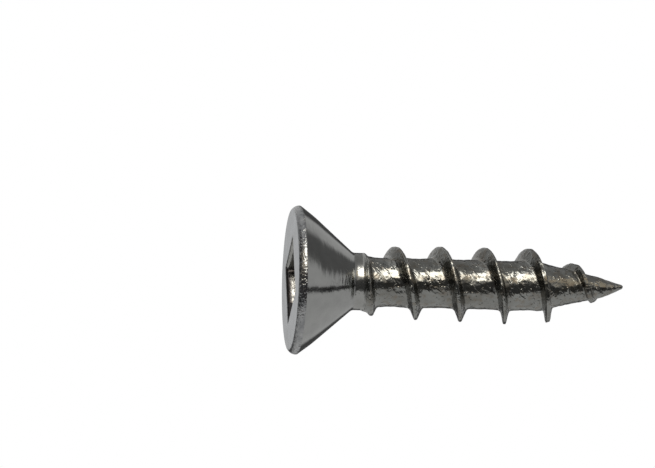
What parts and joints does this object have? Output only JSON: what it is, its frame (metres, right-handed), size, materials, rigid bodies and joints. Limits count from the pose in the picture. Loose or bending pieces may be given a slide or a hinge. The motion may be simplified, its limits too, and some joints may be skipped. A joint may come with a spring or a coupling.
{
  "type": "countersunk wood screw",
  "caption": "Flat-head countersunk wood screw with a square driver recess, a short plain neck and a coarse right-hand thread that tapers to a point.",
  "frame": {"origin": "centre of the head's flat face, on the screw's axis", "axes": "+Z along the screw's axis from the head to the point, so the screw stands on its head; +X and +Y square to the flats of the driver recess"},
  "size_m": [0.0082, 0.0082, 0.0191],
  "materials": {
    "stainless_steel": "satin face and cone, rougher rolled shank"
  },
  "bodies": {
    "root": {"screw": "stainless_steel"}
  },
  "joints": []
}
